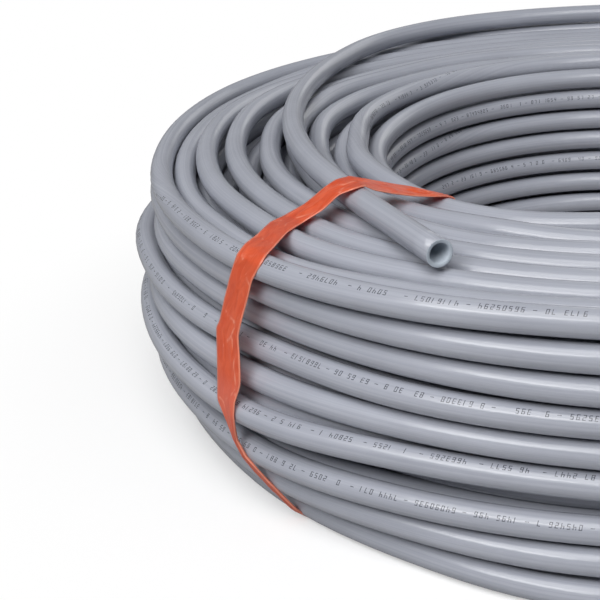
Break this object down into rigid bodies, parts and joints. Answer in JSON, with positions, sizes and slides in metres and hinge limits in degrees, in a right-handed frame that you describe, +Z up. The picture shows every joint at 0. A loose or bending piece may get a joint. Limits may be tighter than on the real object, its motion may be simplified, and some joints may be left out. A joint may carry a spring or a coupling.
{
  "type": "coil of plastic pipe",
  "caption": "Coil of grey plastic pressure pipe lying flat, bound with orange film straps, with one free end on top.",
  "frame": {"origin": "on the coil's axis, at the level of the floor it lies on", "axes": "+Z up along the coil's axis; the free end lies on top at the front left and points towards -Y"},
  "size_m": [0.616, 0.616, 0.1726],
  "materials": {
    "pipe": "extruded plastic pipe, blue-grey, soft gloss",
    "strap_film": "thin creased plastic film, orange"
  },
  "bodies": {
    "root": {"pipe_coil": "pipe", "strap_front": "strap_film", "strap_rear": "strap_film"}
  },
  "joints": []
}
